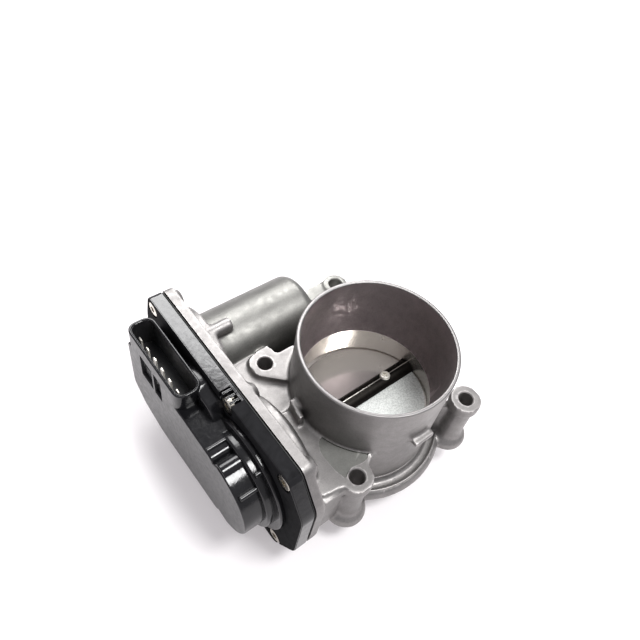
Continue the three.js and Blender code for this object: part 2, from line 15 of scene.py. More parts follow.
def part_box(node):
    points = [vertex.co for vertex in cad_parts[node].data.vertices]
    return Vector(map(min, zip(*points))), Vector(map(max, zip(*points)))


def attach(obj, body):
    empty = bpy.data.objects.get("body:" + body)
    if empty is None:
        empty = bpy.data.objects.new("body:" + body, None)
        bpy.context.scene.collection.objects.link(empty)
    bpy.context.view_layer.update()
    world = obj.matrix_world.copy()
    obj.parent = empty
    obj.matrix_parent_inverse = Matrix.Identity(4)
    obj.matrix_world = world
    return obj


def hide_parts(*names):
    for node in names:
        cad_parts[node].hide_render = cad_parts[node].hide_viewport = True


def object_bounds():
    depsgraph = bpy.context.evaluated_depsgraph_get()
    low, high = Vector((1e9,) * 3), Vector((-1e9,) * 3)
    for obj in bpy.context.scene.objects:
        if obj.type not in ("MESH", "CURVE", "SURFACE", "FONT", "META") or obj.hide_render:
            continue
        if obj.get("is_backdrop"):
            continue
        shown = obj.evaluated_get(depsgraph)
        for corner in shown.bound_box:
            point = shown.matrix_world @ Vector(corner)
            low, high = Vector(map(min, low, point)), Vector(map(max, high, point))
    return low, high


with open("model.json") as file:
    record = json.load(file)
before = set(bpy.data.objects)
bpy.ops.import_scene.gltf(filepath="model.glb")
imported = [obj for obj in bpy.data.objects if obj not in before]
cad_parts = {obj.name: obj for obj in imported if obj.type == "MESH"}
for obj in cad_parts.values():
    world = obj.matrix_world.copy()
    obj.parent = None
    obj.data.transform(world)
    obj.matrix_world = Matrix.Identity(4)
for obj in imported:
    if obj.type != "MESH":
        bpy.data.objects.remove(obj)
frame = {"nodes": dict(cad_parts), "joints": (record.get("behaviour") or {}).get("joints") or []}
cad_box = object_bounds()

MM = 0.001


# ---------- driving dimensions, read from the frame where it holds them ----------


def box_mm(node):
    low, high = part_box(node)
    return low / MM, high / MM


def middle(node):
    low, high = box_mm(node)
    return (low + high) / 2


joints = {joint["name"]: Vector(joint["pos_m"]) / MM for joint in frame["joints"]}

SHAFT_Z = joints["throttle_turn"].z
IDLER_Y = joints["idler_turn"].y
IDLER_Z = joints["idler_turn"].z
MOTOR_Y = joints["motor_turn"].y
MOTOR_Z = joints["motor_turn"].z

HOUSING_LOW, HOUSING_HIGH = box_mm("throttle_housing")
COVER_LOW, COVER_HIGH = box_mm("gear_cover")

# duct
BORE_R = box_mm("throttle_plate")[1].x + 0.3
INLET_R = BORE_R + 2.75
BARREL_R = BORE_R + 4.6
BORE_TOP = 30.6
RIM_Z = HOUSING_HIGH.z
BARREL_FOOT_R = BARREL_R + 0.7  # where the barrel's fillet meets the front web

# outlet flange and bolts
FLANGE_R = 42.5
FLANGE_TOP_R = 40.2
FLANGE_TOP = 4.6
STOCK = 1  # how far the raw casting reaches past the faced outlet
GROOVE = (34.2, 36.6, 1.6)  # inner and outer radius and depth of the O-ring's groove
BOLT_AT = 32.5
BOLT_HOLE_R = 3.35
BOLT_CHAMFER = 0.45
BOSS_R = 7.2
COLUMN_R = 6.1
FOOT_R = 9.4
BOSS_TOP = 33
RIB_TOP = 26
BOLTS = [(-BOLT_AT, BOLT_AT), (BOLT_AT, BOLT_AT), (BOLT_AT, -BOLT_AT), (-BOLT_AT, -BOLT_AT)]
EAR = (24.6, 52.6)
EAR_R = 6.2
EAR_TOP = 32.5
LEDGE_Z = 30.4

# gear case and cover
CASE_FACE = HOUSING_LOW.x
CASE_BACK = CASE_FACE + 4.5
CASE_FLOOR = CASE_FACE + 2.4
BULGE_R = 28
BULGE_BACK = -44.2
COLLAR_R = 24.5
COLLAR_BACK = -47
POST_END = -49.2  # back of the post round each cover screw
POST_R = 4.6  # of the material left round each cover screw inside the case
SCREW_HOLE_R = 2.1  # for the cover screws
CASE_WALL = 4.5
COVER_SEAT = COVER_HIGH.x
COVER_LIP = COVER_SEAT - 6.2
COVER_STEP = COVER_LIP - 6.1
COVER_TOP = COVER_LOW.x
SCREW_SEAT = COVER_LIP + 2.7
SCREW_POCKET_R = 4.05
CLIP_Y = (13.4, 21.8)  # the notch at the middle screw
COVER_WALL = 2
CASE_CORNERS = [
    (79, 52),
    (-24, 52),
    (-36, 35),
    (-36, 3),
    (-24, -14),
    (62, -14),
    (82, 12),
    (82, 37),
]
SCREWS = [middle(f"cover_screw_{i}") for i in range(1, 7)]
CAST_IN = CASE_BACK - 0.5  # where the shapes behind the case start, inside it

# connector
PLUG_Y = (28, 71)
PLUG_X = (COVER_TOP, -66.2)
PLUG_TOP = 50
PLUG_FLOOR = 34
PLUG_WALL = 1.3
PIN_COUNT = 6

# throttle
SHAFT_R = box_mm("throttle_shaft")[1].z - SHAFT_Z
SHAFT_ENDS = (box_mm("throttle_shaft")[0].x, box_mm("throttle_shaft")[1].x)
PLATE_R = BORE_R - 0.3
PLATE_T = 2
REST_TILT = math.radians(11)
PLATE_SCREW_X = 15
PLATE_HOLE_R = 1.7
PLATE_SCREW_TOP = 5.4
BEARING_R = 8

# motor sleeve
MOTOR_SLEEVE_R = 18.2
MOTOR_BORE_R = 15.6
MOTOR_END = 6


# ---------- mesh helpers ----------

CAST, MACHINED, BLAST, RIM, POCKET, SLEEVE = range(6)  # material slots of the casting


def arc(r, start, stop, cx=0.0, cy=0.0, steps=None):
    """Points on an arc, angles in degrees, the last one left out."""
    steps = steps or max(6, int(abs(stop - start) / 4))
    angles = (math.radians(start + (stop - start) * i / steps) for i in range(steps))
    return [(cx + r * math.cos(a), cy + r * math.sin(a)) for a in angles]


def circle(r, cx=0.0, cy=0.0, steps=None):
    return arc(r, 0, 360, cx, cy, steps or max(24, int(r * 4)))


def rounded(corners, r, steps=6):
    """A polygon whose corners become short curves."""
    points = []
    for i, corner in enumerate(corners):
        p = Vector(corner)
        before = Vector(corners[i - 1]) - p
        after = Vector(corners[(i + 1) % len(corners)]) - p
        reach = min(r, before.length / 2.1, after.length / 2.1)
        start = p + before.normalized() * reach
        end = p + after.normalized() * reach
        for k in range(steps + 1):
            t = k / steps
            q = start * (1 - t) ** 2 + p * 2 * t * (1 - t) + end * t**2
            points.append((q.x, q.y))
    return points


def area(points):
    pairs = zip(points, points[1:] + points[:1])
    return sum(a[0] * b[1] - b[0] * a[1] for a, b in pairs) / 2


def inset(points, by):
    """The outline moved inwards, each point along its own bisector."""
    if abs(by) < 1e-9:
        return list(points)
    moved = []
    for i, corner in enumerate(points):
        p = Vector(corner)
        u = (p - Vector(points[i - 1])).normalized()
        v = (Vector(points[(i + 1) % len(points)]) - p).normalized()
        bisector = Vector((-u.y - v.y, u.x + v.x)).normalized()
        cosine = max(0.5, bisector.dot(Vector((-u.y, u.x))))
        moved.append(tuple(p + bisector * by / cosine))
    return moved


def place(axis, u, v, w):
    """Outline coordinates u, v and the height w along an axis, as a point of the frame."""
    return {"x": (w, u, v), "y": (v, w, u), "z": (u, v, w)}[axis]


def mesh_object(name, verts, faces, material=0):
    mesh = bpy.data.meshes.new(name)
    mesh.from_pydata([Vector(v) * MM for v in verts], [], faces)
    mesh.polygons.foreach_set("material_index", [material] * len(faces))
    made = bpy.data.objects.new(name, mesh)
    bpy.context.scene.collection.objects.link(made)
    return made


def prism(points, low, high, axis="x", edge=0.0, low_edge=0.0, material=0, name="tool"):
    """A closed prism along an axis, its rims rounded by edge at the high end and low_edge at the low."""
    if area(points) < 0:
        points = points[::-1]
    steps = 3
    turns = [math.pi / 2 * k / steps for k in range(steps + 1)]
    bottom = [(low_edge * (1 - math.sin(a)), low + low_edge * (1 - math.cos(a))) for a in turns]
    top = [(edge * (1 - math.sin(a)), high - edge * (1 - math.cos(a))) for a in reversed(turns)]
    levels = (bottom if low_edge else [(0, low)]) + (top if edge else [(0, high)])
    verts = []
    for by, w in levels:
        verts += [place(axis, u, v, w) for u, v in inset(points, by)]
    n = len(points)
    faces = [tuple(range(n))[::-1], tuple(range(len(verts) - n, len(verts)))]
    for ring in range(len(levels) - 1):
        a = ring * n
        faces += [(a + i, a + (i + 1) % n, a + n + (i + 1) % n, a + n + i) for i in range(n)]
    return mesh_object(name, verts, faces, material)


def rod(r, low, high, axis="x", at=(0, 0), **more):
    return prism(circle(r, *at), low, high, axis, **more)


def block(x, y, z, **more):
    return prism([(x[0], y[0]), (x[1], y[0]), (x[1], y[1]), (x[0], y[1])], *z, "z", **more)


def at_screws(r, low, high, **more):
    """A rod on the axis of each cover screw."""
    return [rod(r, low, high, at=(screw.y, screw.z), **more) for screw in SCREWS]


def turned(profile, axis="x", at=(0, 0), steps=96, material=0, name="tool"):
    """A turned piece from (radius, height) points; it starts and ends on the axis, or closes on itself."""
    closed = profile[0][0] > 0
    verts, rings = [], []
    for r, w in profile:
        if r == 0:
            rings.append([len(verts)])
            verts.append(place(axis, at[0], at[1], w))
        else:
            rings.append(list(range(len(verts), len(verts) + steps)))
            verts += [place(axis, u, v, w) for u, v in circle(r, *at, steps)]
    faces = []
    pairs = list(zip(rings, rings[1:])) + ([(rings[-1], rings[0])] if closed else [])
    for a, b in pairs:
        for i in range(steps):
            j = (i + 1) % steps
            quad = [a[i % len(a)], a[j % len(a)], b[j % len(b)], b[i % len(b)]]
            face = list(dict.fromkeys(quad))
            if len(face) > 2:
                faces.append(face)
    made = mesh_object(name, verts, faces, material)
    solid = bmesh.new()
    solid.from_mesh(made.data)
    bmesh.ops.recalc_face_normals(solid, faces=solid.faces)
    solid.to_mesh(made.data)
    solid.free()
    return made


def baked(target):
    """The object with its modifiers applied."""
    bpy.context.view_layer.update()
    result = target.evaluated_get(bpy.context.evaluated_depsgraph_get())
    mesh = bpy.data.meshes.new_from_object(result)
    target.modifiers.clear()
    old = target.data
    target.data = mesh
    bpy.data.meshes.remove(old)
    return target


def combine(target, tools, operation):
    for tool in tools:
        step = target.modifiers.new("combine", "BOOLEAN")
        step.operation = operation
        step.solver = "MANIFOLD"
        step.material_mode = "INDEX"
        step.object = tool
    baked(target)
    for tool in tools:
        bpy.data.objects.remove(tool)
    return target


def cut(target, *tools):
    return combine(target, tools, "DIFFERENCE")


def fuse(target, *tools):
    return combine(target, tools, "UNION")


def gathered(name, parts):
    """Several closed meshes as one object, still overlapping."""
    whole = bmesh.new()
    for part in parts:
        whole.from_mesh(part.data)
        bpy.data.objects.remove(part)
    mesh = bpy.data.meshes.new(name)
    whole.to_mesh(mesh)
    whole.free()
    made = bpy.data.objects.new(name, mesh)
    bpy.context.scene.collection.objects.link(made)
    return made


def melted(target, voxel, rounds):
    """Overlapping solids run together into one skin with soft edges, as a casting has."""
    skin = target.modifiers.new("skin", "REMESH")
    skin.mode = "VOXEL"
    skin.voxel_size = voxel * MM
    soften = target.modifiers.new("soften", "SMOOTH")
    soften.factor = 0.5
    soften.iterations = rounds
    return baked(target)


def flattened(target):
    """Shading that keeps flat faces flat beside their rounded edges."""
    weights = target.modifiers.new("weights", "WEIGHTED_NORMAL")
    weights.keep_sharp = True
    return baked(target)


def finished(target, name, body, replaced, materials, angle=32):
    """Names a piece, shades it smooth up to an angle, and ties it to the frame."""
    target.name = name
    target.data.name = name
    faces = target.data.polygons
    slots = [face.material_index for face in faces]
    target.data.materials.clear()
    for material in materials:
        target.data.materials.append(material)
    faces.foreach_set("material_index", slots)
    faces.foreach_set("use_smooth", [True] * len(faces))
    target.data.set_sharp_from_angle(angle=math.radians(angle))
    flattened(target)
    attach(target, body)
    if replaced:
        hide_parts(*replaced)
    return target


def moved(target, matrix):
    target.data.transform(matrix)
    return target


# ---------- materials ----------


class Look:
    """A procedural material: a Principled shader with nodes wired to it."""

    def __init__(self, name, color, roughness, metallic=0.0, **sockets):
        self.material = bpy.data.materials.new(name)
        self.material.use_nodes = True
        self.tree = self.material.node_tree
        self.shader = self.tree.nodes["Principled BSDF"]
        self.color = color
        self.set("Base Color", (*color, 1))
        self.set("Roughness", roughness)
        self.set("Metallic", metallic)
        for socket, value in sockets.items():
            self.set(socket.replace("_", " "), value)
        self.place = self.add("ShaderNodeTexCoord").outputs["Object"]
        self.normal = None

    def set(self, socket, value):
        self.shader.inputs[socket].default_value = value

    def add(self, kind, **values):
        node = self.tree.nodes.new(kind)
        for key, value in values.items():
            setattr(node, key, value)
        return node

    def link(self, output, target):
        self.tree.links.new(output, target)

    def stretched(self, scale):
        """Object coordinates scaled by axis, so that a texture runs along one of them."""
        node = self.add("ShaderNodeMapping")
        node.inputs["Scale"].default_value = scale
        self.link(self.place, node.inputs["Vector"])
        return node.outputs["Vector"]

    def noise(self, size_mm, detail=3.0, roughness=0.55, distortion=0.0, where=None):
        node = self.add("ShaderNodeTexNoise")
        node.inputs["Scale"].default_value = 1 / (size_mm * MM)
        node.inputs["Detail"].default_value = detail
        node.inputs["Roughness"].default_value = roughness
        node.inputs["Distortion"].default_value = distortion
        self.link(where or self.place, node.inputs["Vector"])
        return node.outputs["Fac"]

    def ramp(self, value, *stops):
        """Colour stops (position, colour) over a value."""
        node = self.add("ShaderNodeValToRGB")
        band = node.color_ramp
        while len(band.elements) < len(stops):
            band.elements.new(0.5)
        for element, (position, color) in zip(band.elements, stops):
            element.position = position
            element.color = (*color, 1) if len(color) == 3 else color
        self.link(value, node.inputs["Fac"])
        return node.outputs["Color"]

    def remap(self, value, low, high, out_low, out_high):
        """The value from low to high, spread over out_low to out_high and held at both ends."""
        node = self.add("ShaderNodeMapRange")
        limits = {"From Min": low, "From Max": high, "To Min": out_low, "To Max": out_high}
        for socket, number in limits.items():
            node.inputs[socket].default_value = number
        self.link(value, node.inputs["Value"])
        return node.outputs["Result"]

    def mix(self, share, a, b, blend="MIX"):
        node = self.add("ShaderNodeMix", data_type="RGBA", blend_type=blend)
        for socket, value in (("A", a), ("B", b)):
            slot = [s for s in node.inputs if s.name == socket and s.type == "RGBA"][0]
            if isinstance(value, tuple):
                slot.default_value = (*value, 1)
            else:
                self.link(value, slot)
        factor = [s for s in node.inputs if s.name == "Factor" and s.type == "VALUE"][0]
        if isinstance(share, float):
            factor.default_value = share
        else:
            self.link(share, factor)
        return [s for s in node.outputs if s.type == "RGBA"][0]

    def bump(self, height, strength, distance_mm):
        node = self.add("ShaderNodeBump")
        node.inputs["Strength"].default_value = strength
        node.inputs["Distance"].default_value = distance_mm * MM
        self.link(height, node.inputs["Height"])
        if self.normal:
            self.link(self.normal, node.inputs["Normal"])
        self.normal = node.outputs["Normal"]
        self.link(self.normal, self.shader.inputs["Normal"])

    def worn_edges(self, low, high):
        """1 on raised edges and 0 elsewhere."""
        geometry = self.add("ShaderNodeNewGeometry")
        return self.remap(geometry.outputs["Pointiness"], low, high, 0.0, 1.0)

    def base(self, color):
        self.link(color, self.shader.inputs["Base Color"])

    def rough(self, value):
        self.link(value, self.shader.inputs["Roughness"])


def scaled(color, by):
    return tuple(min(1.0, c * by) for c in color)


def cast_look(name, color, roughness):
    """Blasted die casting: fine grain, faint flow marks, brighter edges."""
    look = Look(name, color, roughness, 0.92)
    flow = look.noise(14, 4, 0.6, 0.6)
    grain = look.noise(0.55, 2, 0.6)
    tone = look.ramp(flow, (0.3, scaled(color, 0.86)), (0.5, color), (0.72, scaled(color, 1.1)))
    speckle = look.ramp(grain, (0.35, (0.82, 0.82, 0.82)), (0.65, (1.0, 1.0, 1.0)))
    tone = look.mix(0.8, tone, speckle, "MULTIPLY")
    tone = look.mix(look.worn_edges(0.512, 0.56), tone, scaled(color, 1.45))
    look.base(tone)
    look.rough(look.remap(look.noise(3, 3), 0.3, 0.7, roughness - 0.06, roughness + 0.07))
    look.bump(grain, 0.28, 0.05)
    look.bump(look.noise(5, 3), 0.12, 0.25)
    return look.material


def turned_look(name, color, roughness, scale, metallic=1.0):
    """Machined metal: fine tool lines running round the axis whose scale is large."""
    look = Look(name, color, roughness, metallic, Anisotropic=0.5)
    lines = look.noise(1, 2, 0.7, where=look.stretched(scale))
    look.base(look.ramp(lines, (0.3, scaled(color, 0.8)), (0.7, scaled(color, 1.12))))
    look.rough(look.remap(look.noise(6, 3), 0.3, 0.7, roughness - 0.04, roughness + 0.06))
    look.bump(lines, 0.25, 0.03)
    return look.material


def plate_look():
    """The throttle plate: faced smooth on the down-swung half, pearly and rough on the other."""
    color = (0.74, 0.71, 0.68)
    look = Look("plate_faced", color, 0.15, 0.85)
    split = look.add("ShaderNodeSeparateXYZ")
    look.link(look.place, split.inputs["Vector"])
    near = look.remap(split.outputs["Y"], 0.0, -3 * MM, 0.0, 1.0)
    brushed = look.noise(1, 2, 0.6, where=look.stretched((300, 6000, 300)))
    faced = look.ramp(brushed, (0.25, scaled(color, 0.8)), (0.75, scaled(color, 1.1)))
    sparkle = look.noise(0.7, 2, 0.75)
    pearly = look.ramp(sparkle, (0.38, (0.5, 0.52, 0.5)), (0.6, (0.78, 0.8, 0.78)))
    look.base(look.mix(near, faced, pearly))
    rough = look.remap(sparkle, 0.35, 0.65, 0.6, 0.85)
    smooth = look.remap(brushed, 0.3, 0.7, 0.1, 0.2)
    blend = look.add("ShaderNodeMix", data_type="FLOAT")
    look.link(near, blend.inputs["Factor"])
    look.link(smooth, blend.inputs["A"])
    look.link(rough, blend.inputs["B"])
    look.rough(blend.outputs["Result"])
    look.link(look.remap(near, 0.0, 1.0, 0.85, 0.5), look.shader.inputs["Metallic"])
    height = look.add("ShaderNodeMath", operation="MULTIPLY")
    look.link(sparkle, height.inputs[0])
    look.link(near, height.inputs[1])
    look.bump(height.outputs["Value"], 0.9, 0.16)
    look.bump(brushed, 0.1, 0.02)
    return look.material


def plastic_look(name, color, roughness, wave, ior):
    """Moulded glass-filled plastic: gentle flow waves and a few dull patches."""
    look = Look(name, color, roughness, 0.0, IOR=ior)
    flow = look.noise(9, 3, 0.55, 1.2)
    look.base(look.ramp(flow, (0.3, scaled(color, 0.75)), (0.7, scaled(color, 1.35))))
    look.rough(look.remap(look.noise(2.4, 4, 0.6, 0.8), 0.35, 0.7, roughness, roughness + 0.14))
    look.bump(flow, wave, 0.35)
    look.bump(look.noise(0.45, 2), 0.02, 0.03)
    return look.material


def shaft_look():
    """Blackened steel with a painted highlight: a thin bright line along the crest, on the plate's upper
    side.
    """
    look = Look("shaft_black", (0.012, 0.011, 0.01), 0.35, 0.9)
    crest = SHAFT_R * math.sin(REST_TILT)
    split = look.add("ShaderNodeSeparateXYZ")
    look.link(look.place, split.inputs["Vector"])
    off = look.add("ShaderNodeMath", operation="SUBTRACT")
    look.link(split.outputs["Y"], off.inputs[0])
    off.inputs[1].default_value = crest * MM
    away = look.add("ShaderNodeMath", operation="ABSOLUTE")
    look.link(off.outputs["Value"], away.inputs[0])
    line = look.remap(away.outputs["Value"], 0.12 * MM, 0.26 * MM, 1.0, 0.0)
    upper = look.remap(split.outputs["Z"], SHAFT_Z * MM, (SHAFT_Z + 1) * MM, 0.0, 1.0)
    painted_highlight = look.add("ShaderNodeMath", operation="MULTIPLY")
    look.link(line, painted_highlight.inputs[0])
    look.link(upper, painted_highlight.inputs[1])
    grain = look.noise(1.5, 3, 0.6)
    black = look.ramp(grain, (0.3, (0.009, 0.008, 0.007)), (0.7, (0.016, 0.014, 0.012)))
    # the bright line mixed into the black is a painted highlight along the crest, not worn steel
    look.base(look.mix(painted_highlight.outputs["Value"], black, (0.62, 0.6, 0.55)))
    look.bump(grain, 0.05, 0.03)
    return look.material


def metal_look(name, color, roughness, grain_mm=0.8, strength=0.2, metallic=1.0):
    """Plain plated, sintered or blackened metal with a light grain."""
    look = Look(name, color, roughness, metallic)
    grain = look.noise(grain_mm, 3, 0.6)
    look.base(look.ramp(grain, (0.3, scaled(color, 0.78)), (0.7, scaled(color, 1.12))))
    look.rough(look.remap(look.noise(2, 3), 0.3, 0.7, max(0.04, roughness - 0.05), roughness + 0.08))
    look.bump(grain, strength, 0.03)
    return look.material


CAST_ALUMINIUM = cast_look("cast_aluminium", (0.25, 0.24, 0.235), 0.47)
DUCT_ALUMINIUM = cast_look("cast_duct_wall", (0.235, 0.2, 0.205), 0.58)
BORE_ALUMINIUM = turned_look("turned_bore", (0.6, 0.565, 0.52), 0.22, (20, 20, 9000), 0.85)
FACE_ALUMINIUM = turned_look("faced_rim", (0.26, 0.25, 0.247), 0.45, (700, 700, 700))
POCKET_ALUMINIUM = cast_look("cast_pocket", (0.2, 0.2, 0.188), 0.5)
SLEEVE_ALUMINIUM = cast_look("cast_sleeve", (0.195, 0.193, 0.182), 0.45)
PLATE_ALUMINIUM = plate_look()
COVER_PLASTIC = plastic_look("cover_plastic", (0.007, 0.007, 0.008), 0.1, 0.25, 1.4)
COVER_GLOSS = plastic_look("cover_glossy_edge", (0.008, 0.008, 0.009), 0.1, 0.25, 1.55)
COVER_MATT = plastic_look("cover_matt_flange", (0.014, 0.014, 0.015), 0.5, 0.15, 1.06)
COVER_FACE = plastic_look("cover_outer_face", (0.03, 0.03, 0.031), 0.32, 0.1, 1.6)
SOCKET_PLASTIC = plastic_look("socket_plastic", (0.008, 0.008, 0.009), 0.4, 0.1, 1.5)
ZINC = metal_look("zinc_plate", (0.74, 0.7, 0.62), 0.24)
SHAFT_BLACK = shaft_look()
DARK_STEEL = metal_look("dark_steel", (0.035, 0.033, 0.03), 0.14, 1.5, 0.06)
TIN = metal_look("tin_plate", (0.88, 0.85, 0.78), 0.3, 0.8, 0.1, 0.6)
PLUG_STEEL = metal_look("plug_steel", (0.34, 0.33, 0.31), 0.36, 0.5, 0.12)
RUBBER = metal_look("seal_rubber", (0.02, 0.02, 0.02), 0.7, 0.5, 0.3, 0.0)
NYLON = metal_look("gear_nylon", (0.72, 0.69, 0.6), 0.45, 1.2, 0.15, 0.0)
BRASS = metal_look("brass", (0.75, 0.56, 0.27), 0.25)
FERRITE = metal_look("magnet_ferrite", (0.1, 0.1, 0.105), 0.55, 0.6, 0.4, 0.4)
BOARD = metal_look("circuit_board", (0.03, 0.16, 0.06), 0.4, 1.0, 0.1, 0.0)


# ---------- the casting ----------


def case_outline(by=0.0, r=3.0):
    return inset(rounded(CASE_CORNERS, r), by)


def barrel():
    profile = [
        (0, -STOCK),
        (FLANGE_R, -STOCK),
        (FLANGE_R, 1.6),
        (FLANGE_R - 0.9, 3.4),
        (FLANGE_TOP_R, FLANGE_TOP),
        (FLANGE_TOP_R - 1.4, FLANGE_TOP - 0.9),
        (BARREL_R + 1.7, FLANGE_TOP - 0.9),
        (BARREL_R + 0.4, FLANGE_TOP + 0.4),
        (BARREL_R, FLANGE_TOP + 2),
        (BARREL_R, RIM_Z + 2),
        (0, RIM_Z + 2),
    ]
    return turned(profile, "z", steps=180)


def boss_parts():
    column = [
        (0, -STOCK),
        (FOOT_R, -STOCK),
        (FOOT_R, 1.8),
        (FOOT_R - 0.9, 3.6),
        (FOOT_R - 1.6, 4),
        (COLUMN_R + 0.6, 5),
        (COLUMN_R, 7),
        (COLUMN_R - 0.2, BOSS_TOP - 7),
        (BOSS_R, BOSS_TOP - 5.2),
        (BOSS_R, BOSS_TOP),
        (0, BOSS_TOP),
    ]
    for at in BOLTS:
        yield turned(column, "z", at, 64)
    ear = [(0, 20), (EAR_R - 0.6, 20), (EAR_R, 24), (EAR_R, EAR_TOP), (0, EAR_TOP)]
    yield turned(ear, "z", EAR, 64)
    start, end, half = 22, 31, 1.4  # of the slanted rib to each boss on the far side
    rib = [(start + half, start - half), (end + half, end - half)]
    rib += [(y, x) for x, y in reversed(rib)]
    for side in (1, -1):
        yield prism([(x, side * y) for x, y in rib], -STOCK, RIB_TOP, "z")


def case_parts():
    yield prism(case_outline(), CASE_FACE - 1.5, CASE_BACK)
    bulge = [
        (0, CAST_IN),
        (BULGE_R, CAST_IN),
        (BULGE_R, -47.2),
        (BULGE_R - 1.6, -45.8),
        (BULGE_R - 4.2, -45.6),
        (BULGE_R - 4.8, BULGE_BACK),
        (0, BULGE_BACK),
    ]
    yield turned(bulge, "x", (0, SHAFT_Z), 180)
    yield rod(COLLAR_R, CAST_IN, COLLAR_BACK, at=(MOTOR_Y, MOTOR_Z))
    yield rod(5, CAST_IN, COLLAR_BACK + 1, at=(IDLER_Y, IDLER_Z))
    post = [(0, CAST_IN), (4.3, CAST_IN), (3.9, POST_END - 0.6), (3.2, POST_END), (0, POST_END)]
    for screw in SCREWS:
        yield turned(post, "x", (screw.y, screw.z), 48)


def web_parts():
    boss_side = [(-10, 28), (-15, 34), (-25.5, 34), (-25.5, 40.3)]
    web = [(-46, 40.3), (-46, 5), (-28, 5), *boss_side]
    pad = [(-32.5, 40.3), (-38.4, 33), (-37.8, 27.2), (-30, 20), (-26, 18), *boss_side]
    front = [
        (-50, 10),
        (-50, -31),
        (-44, -31.8),
        (-38.5, -33),
        (-32.5, -37),
        (-26.3, -33),
        (-25, -31.2),
        (-17, -27),
        (-25, 5),
    ]
    ear = [(8, 58), (8, 33), (20, 24), (34, 24), (39, 34), (30.6, 46), (30.6, 54), (26, 58)]
    yield prism(rounded(web, 2), 25, LEDGE_Z, "z")
    yield prism(rounded(pad, 2.5), LEDGE_Z - 1, BOSS_TOP, "z")
    yield prism(rounded(front, 2), 26.5, BOSS_TOP, "z")
    yield prism(rounded(ear, 4), 27, 31.5, "z")
    yield block((-52, -40), (-33.9, -31.2), (3, 31.8))
    yield prism([(-39, -1), (-36.6, -0.9), (-34, 9), (-37.2, 8.6)], BOSS_TOP - 1, 39.3, "z")
    yield block((-6.3, 4.4), (-38.2, -32), (37.4, 39.8))


def sleeve_parts():
    sleeve = [
        (0, CAST_IN),
        (MOTOR_SLEEVE_R + 1.6, CAST_IN),
        (MOTOR_SLEEVE_R + 0.3, -44.5),
        (MOTOR_SLEEVE_R, -41),
        (MOTOR_SLEEVE_R - 0.3, MOTOR_END - 3.4),
        (MOTOR_SLEEVE_R - 1.3, MOTOR_END - 1.2),
        (MOTOR_SLEEVE_R - 3.2, MOTOR_END),
        (0, MOTOR_END),
    ]
    yield turned(sleeve, "x", (MOTOR_Y, MOTOR_Z), 144)
    yield rod(3.3, CAST_IN, -37.6, at=(53, 43.4), edge=0.4)
    yield block((-44, 2), (28, 45), (10, 16))


def shaft_boss_parts():
    near = [(0, -46), (12.4, -46), (11.2, -42), (11, -28), (0, -28)]
    far = [(0, 28), (11.6, 32), (10.2, 36.5), (10, 43), (0, 43)]
    yield turned(near, "x", (0, SHAFT_Z))
    yield turned(far, "x", (0, SHAFT_Z))
    yield block((-46, -32), (-2, 2), (2, 31))
    yield block((32, 41), (-1.6, 1.6), (2, 27))


def bolt_hole(at, top):
    wide = BOLT_HOLE_R + BOLT_CHAMFER
    profile = [
        (0, -3),
        (wide, -3),
        (wide, 0),
        (BOLT_HOLE_R, BOLT_CHAMFER),
        (BOLT_HOLE_R, top - BOLT_CHAMFER),
        (wide, top),
        (wide, top + 3),
        (0, top + 3),
    ]
    return turned(profile, "z", at, 64)


def duct_cutter():
    """Inlet, machined bore and the faced rim with its two small chamfers."""
    inlet = [
        (0, BORE_TOP - 0.1),
        (BORE_R + 0.2, BORE_TOP - 0.1),
        (BORE_R + 1.6, BORE_TOP + 5),
        (INLET_R - 0.25, BORE_TOP + 11),
        (INLET_R, BORE_TOP + 15),
        (INLET_R, RIM_Z + 4),
        (0, RIM_Z + 4),
    ]
    bore = [
        (0, -3),
        (BORE_R + 0.5, -3),
        (BORE_R + 0.5, 0),
        (BORE_R, 0.5),
        (BORE_R, BORE_TOP),
        (0, BORE_TOP),
    ]
    rim = [
        (0, RIM_Z - 0.5),
        (INLET_R, RIM_Z - 0.5),
        (INLET_R + 0.15, RIM_Z - 0.2),
        (INLET_R + 0.5, RIM_Z),
        (BARREL_R - 0.6, RIM_Z),
        (BARREL_R - 0.2, RIM_Z - 0.2),
        (BARREL_R + 0.1, RIM_Z - 0.8),
        (BARREL_R + 0.4, RIM_Z - 1.4),
        (BARREL_R + 6, RIM_Z - 1.4),
        (BARREL_R + 6, RIM_Z + 4),
        (0, RIM_Z + 4),
    ]
    return [
        turned(rim, "z", steps=240, material=RIM),
        turned(inlet, "z", steps=240, material=BLAST),
        turned(bore, "z", steps=240, material=MACHINED),
    ]


def outlet_cutters():
    """The outlet face with its O-ring groove."""
    yield rod(FLANGE_R + 1.5, -4, 0, "z", material=RIM)
    for at in BOLTS:
        yield rod(FOOT_R + 1.5, -4, 0, "z", at, material=RIM)
    inner, outer, depth = GROOVE
    groove = [(inner, -3), (outer, -3), (outer, depth), (inner, depth)]
    yield turned(groove, "z", steps=180, material=RIM)


def case_cutters():
    """The cover's seat, the open case, the motor's bore and the screw holes."""
    yield block((CASE_FACE - 8, CASE_FACE), (-60, 100), (-40, 80), material=RIM)
    hollow = prism(case_outline(CASE_WALL, 6), CASE_FACE - 3, CASE_FLOOR, material=BLAST)
    yield cut(hollow, *at_screws(POST_R, CASE_FACE - 5, CASE_FLOOR + 2))
    yield rod(COLLAR_R, CASE_FACE - 3, -47.4, at=(0, SHAFT_Z), material=BLAST)
    yield rod(MOTOR_BORE_R, CASE_FACE - 3, 4, at=(MOTOR_Y, MOTOR_Z), material=MACHINED)
    yield rod(2.3, CASE_FACE - 3, -49, at=(IDLER_Y, IDLER_Z), material=MACHINED)
    yield from at_screws(SCREW_HOLE_R, CASE_FACE - 3, POST_END - 1, material=BLAST)


